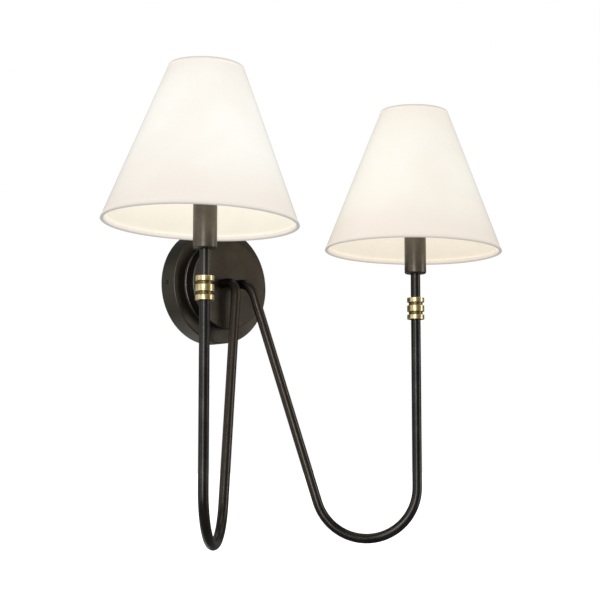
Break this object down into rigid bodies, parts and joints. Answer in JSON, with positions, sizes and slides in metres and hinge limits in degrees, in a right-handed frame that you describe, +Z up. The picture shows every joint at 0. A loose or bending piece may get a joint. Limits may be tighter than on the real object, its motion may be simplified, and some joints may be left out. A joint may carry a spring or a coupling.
{
  "type": "double arm wall sconce",
  "caption": "Wall light with a stepped round canopy, bent tube arms dropping in a U and rising to ringed brass collars, socket cups and lit tapered cloth shades.",
  "frame": {"origin": "centre of the canopy's back face, on the wall", "axes": "+Z up, +Y into the wall, +X to the viewer's right"},
  "size_m": [0.4769, 0.2753, 0.4656],
  "materials": {
    "bronze": "dark bronze satin lacquer",
    "brass": "turned and polished, clear lacquer",
    "plain_brass": "stamped, bright",
    "shade_cloth": "off-white linen cloth on a translucent liner",
    "shade_binding": "rolled linen binding",
    "ring_wire": "white-plated wire",
    "bulb_glass": "frosted",
    "filament": "glowing filament post",
    "holder_moulding": "moulded phenolic",
    "lead_sleeve": "soft sleeve",
    "plated_steel": "zinc plated",
    "ground_green": "green earthing screw",
    "connector_moulding": "moulded twist-on caps"
  },
  "bodies": {
    "wall_frame": {"mounting_bracket": "plated_steel", "ground_screw": "ground_green", "canopy": "bronze", "canopy_rim_screws": "bronze", "boss_cap": "bronze", "boss_screws": "plated_steel", "arm_washers": "plated_steel", "arm_lock_nuts": "plated_steel", "cup_lock_nuts": "plated_steel", "wire_connectors": "connector_moulding", "arm_left": "bronze", "lead_left": "lead_sleeve", "collar_left": "brass", "stem_left": "bronze", "cup_left": "bronze", "holder_yoke_left": "plated_steel", "holder_body_left": "holder_moulding", "holder_shell_left": "plain_brass", "holder_contact_left": "plain_brass", "arm_right": "bronze", "lead_right": "lead_sleeve", "collar_right": "brass", "stem_right": "bronze", "cup_right": "bronze", "holder_yoke_right": "plated_steel", "holder_body_right": "holder_moulding", "holder_shell_right": "plain_brass", "holder_contact_right": "plain_brass"},
    "bulb_left": {"bulb_base_left": "plain_brass", "bulb_eyelet_left": "plain_brass", "bulb_glass_left": "bulb_glass", "bulb_filament_left": "filament"},
    "clip_left": {"bulb_clip_left": "ring_wire"},
    "shade_left": {"shade_left": "shade_cloth", "shade_bottom_ring_left": "ring_wire", "shade_top_ring_left": "ring_wire", "shade_bottom_trim_left": "shade_binding", "shade_top_trim_left": "shade_binding", "shade_bar_left": "ring_wire"},
    "bulb_right": {"bulb_base_right": "plain_brass", "bulb_eyelet_right": "plain_brass", "bulb_glass_right": "bulb_glass", "bulb_filament_right": "filament"},
    "clip_right": {"bulb_clip_right": "ring_wire"},
    "shade_right": {"shade_right": "shade_cloth", "shade_bottom_ring_right": "ring_wire", "shade_top_ring_right": "ring_wire", "shade_bottom_trim_right": "shade_binding", "shade_top_trim_right": "shade_binding", "shade_bar_right": "ring_wire"}
  },
  "joints": [
    {"name": "bulb_turn_left", "type": "hinge", "parent": "wall_frame", "child": "bulb_left", "pos_m": [-0.142, -0.18, 0.083], "axis": [0, 0, 1], "range_deg": [0, 1620]},
    {"name": "shade_lift_left", "type": "slide", "parent": "bulb_left", "child": "clip_left", "axis": [0, 0, 1], "range_m": [0, 0.135]},
    {"name": "shade_tilt_left", "type": "hinge", "parent": "clip_left", "child": "shade_left", "pos_m": [-0.142, -0.18, 0.179], "axis": [0, 1, 0], "range_deg": [-14.3, 9.7]},
    {"name": "bulb_turn_right", "type": "hinge", "parent": "wall_frame", "child": "bulb_right", "pos_m": [0.142, -0.18, 0.083], "axis": [0, 0, 1], "range_deg": [0, 1620]},
    {"name": "shade_lift_right", "type": "slide", "parent": "bulb_right", "child": "clip_right", "axis": [0, 0, 1], "range_m": [0, 0.135]},
    {"name": "shade_tilt_right", "type": "hinge", "parent": "clip_right", "child": "shade_right", "pos_m": [0.142, -0.18, 0.179], "axis": [0, 1, 0], "range_deg": [-13.3, 10.7]}
  ]
}
